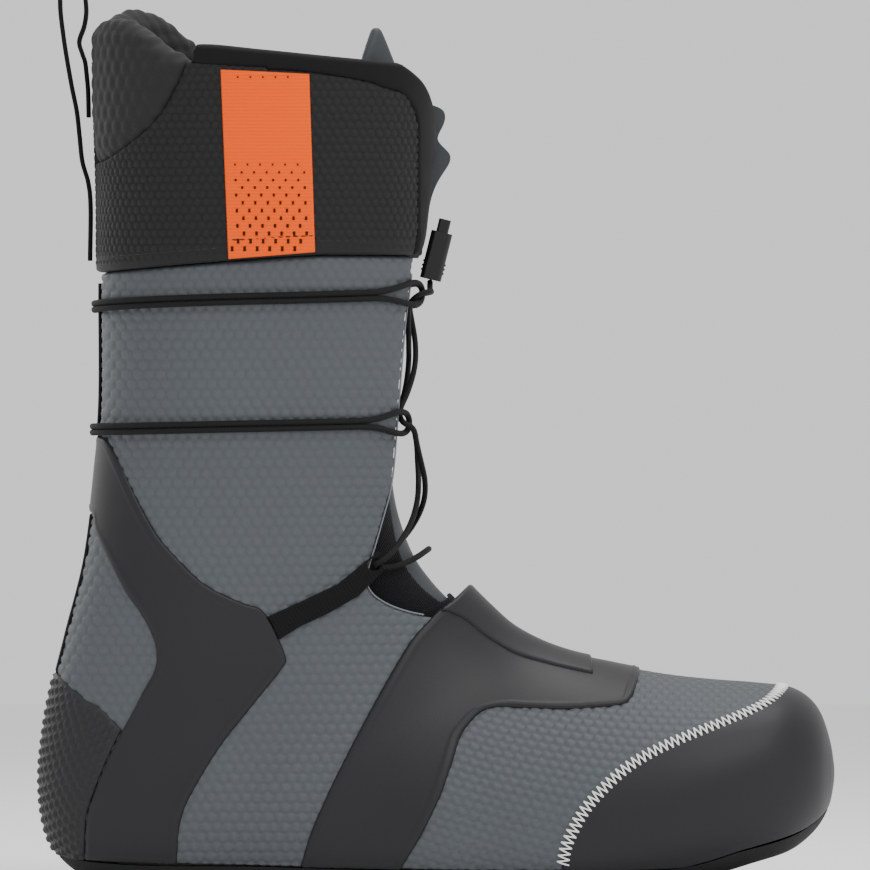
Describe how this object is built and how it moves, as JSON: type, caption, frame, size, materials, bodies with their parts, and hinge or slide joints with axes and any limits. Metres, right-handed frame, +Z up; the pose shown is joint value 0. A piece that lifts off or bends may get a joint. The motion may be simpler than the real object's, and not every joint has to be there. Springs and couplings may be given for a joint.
{
  "type": "snowboard boot liner",
  "caption": "Removable foam inner boot for a snowboard boot: padded cuff with opening flaps, tongue, laced shin cords, heel harness and rubber sole.",
  "frame": {"origin": "on the outsole's flat ground face, on the centre plane, under the middle of the boot's length", "axes": "+Z up, +X towards the toe, +Y towards the medial (inner) side of a right foot"},
  "size_m": [0.2885, 0.1106, 0.3323],
  "materials": {
    "outsole": "fine textured, matt",
    "board": "fibre board",
    "footbed_foam": "EVA foam, matt",
    "footbed_cloth": "brushed knit",
    "eva_grey": "thermoformed EVA with soft hexagonal dimples",
    "toe_cap": "smooth satin",
    "overlay": "moulded TPU, satin",
    "heel_rubber": "studded, matt",
    "cuff_black": "embossed laminate",
    "pad_black": "embossed padded textile",
    "binding": "woven edge tape",
    "lining": "brushed knit",
    "foam_core": "EVA foam",
    "label_orange": "ribbed webbing",
    "webbing_black": "narrow webbing",
    "cord_black": "braided cord",
    "thread_white": "sewing thread",
    "tongue_grey": "EVA foam, satin",
    "lock_plastic": "glossy",
    "spring_steel": "spring wire"
  },
  "bodies": {
    "shell": {"ankle_pad_lateral": "foam_core", "ankle_pad_medial": "foam_core", "back_cord": "cord_black", "back_stay": "binding", "calf_pad_lateral": "pad_black", "calf_pad_medial": "pad_black", "collar_binding_lateral": "binding", "collar_binding_medial": "binding", "cuff_foam_rear": "foam_core", "cuff_rear": "cuff_black", "gusset_lateral": "lining", "gusset_medial": "lining", "harness_strap_lateral": "webbing_black", "harness_strap_medial": "webbing_black", "heel_cup": "heel_rubber", "heel_harness_lateral": "overlay", "heel_harness_medial": "overlay", "instep_overlay": "overlay", "instep_ridge": "overlay", "label_tab": "label_orange", "lace": "cord_black", "lasting_board": "board", "lining": "lining", "outsole": "outsole", "pull_loop_anchor": "webbing_black", "pull_loop_base": "webbing_black", "quarter_lateral": "eva_grey", "quarter_medial": "eva_grey", "shin_cord_lower": "cord_black", "shin_cord_upper": "cord_black", "toe_cap": "toe_cap", "toe_cap_stitching": "thread_white", "vamp": "eva_grey"},
    "lateral_flap": {"cuff_flap_lateral": "cuff_black", "flap_foam_lateral": "foam_core", "flap_lining_lateral": "lining", "flap_binding_lateral": "binding"},
    "medial_flap": {"cuff_flap_medial": "cuff_black", "flap_foam_medial": "foam_core", "flap_lining_medial": "lining", "flap_binding_medial": "binding"},
    "tongue": {"tongue": "tongue_grey", "tongue_shield": "tongue_grey"},
    "footbed": {"footbed": "footbed_foam", "footbed_cover": "footbed_cloth"},
    "pull_loop": {"pull_loop": "webbing_black"},
    "lace_lock": {"lock_housing": "lock_plastic", "lock_spring": "spring_steel"},
    "lock_button": {"lock_button": "lock_plastic"}
  },
  "joints": [
    {"name": "lateral_flap_open", "type": "hinge", "parent": "shell", "child": "lateral_flap", "pos_m": [-0.04, -0.0552, 0.262], "axis": [0, 0, -1], "range_deg": [0, 40], "stiffness_Nm_per_rad": 0.25},
    {"name": "medial_flap_open", "type": "hinge", "parent": "shell", "child": "medial_flap", "pos_m": [-0.04, 0.0552, 0.262], "axis": [0, 0, 1], "range_deg": [0, 40], "stiffness_Nm_per_rad": 0.25},
    {"name": "tongue_tilt_back", "type": "hinge", "parent": "shell", "child": "tongue", "pos_m": [0.008, 0, 0.098], "axis": [0, -1, 0], "range_deg": [0, 14]},
    {"name": "footbed_heel_lift", "type": "hinge", "parent": "shell", "child": "footbed", "pos_m": [0.134, 0, 0.02], "axis": [0, 1, 0], "range_deg": [0, 3]},
    {"name": "pull_loop_fold_back", "type": "hinge", "parent": "shell", "child": "pull_loop", "pos_m": [-0.1336, 0, 0.2982], "axis": [0, -1, 0], "range_deg": [0, 75], "stiffness_Nm_per_rad": 0.01},
    {"name": "lace_lock_swing", "type": "hinge", "parent": "shell", "child": "lace_lock", "pos_m": [-0.001, 0, 0.2186], "axis": [0, 1, 0], "range_deg": [0, 55]},
    {"name": "lock_button_press", "type": "slide", "parent": "lace_lock", "child": "lock_button", "axis": [-0.2419, 0, -0.9703], "range_m": [0, 0.003], "stiffness_N_per_m": 400, "deforming": ["lock_spring"]}
  ]
}
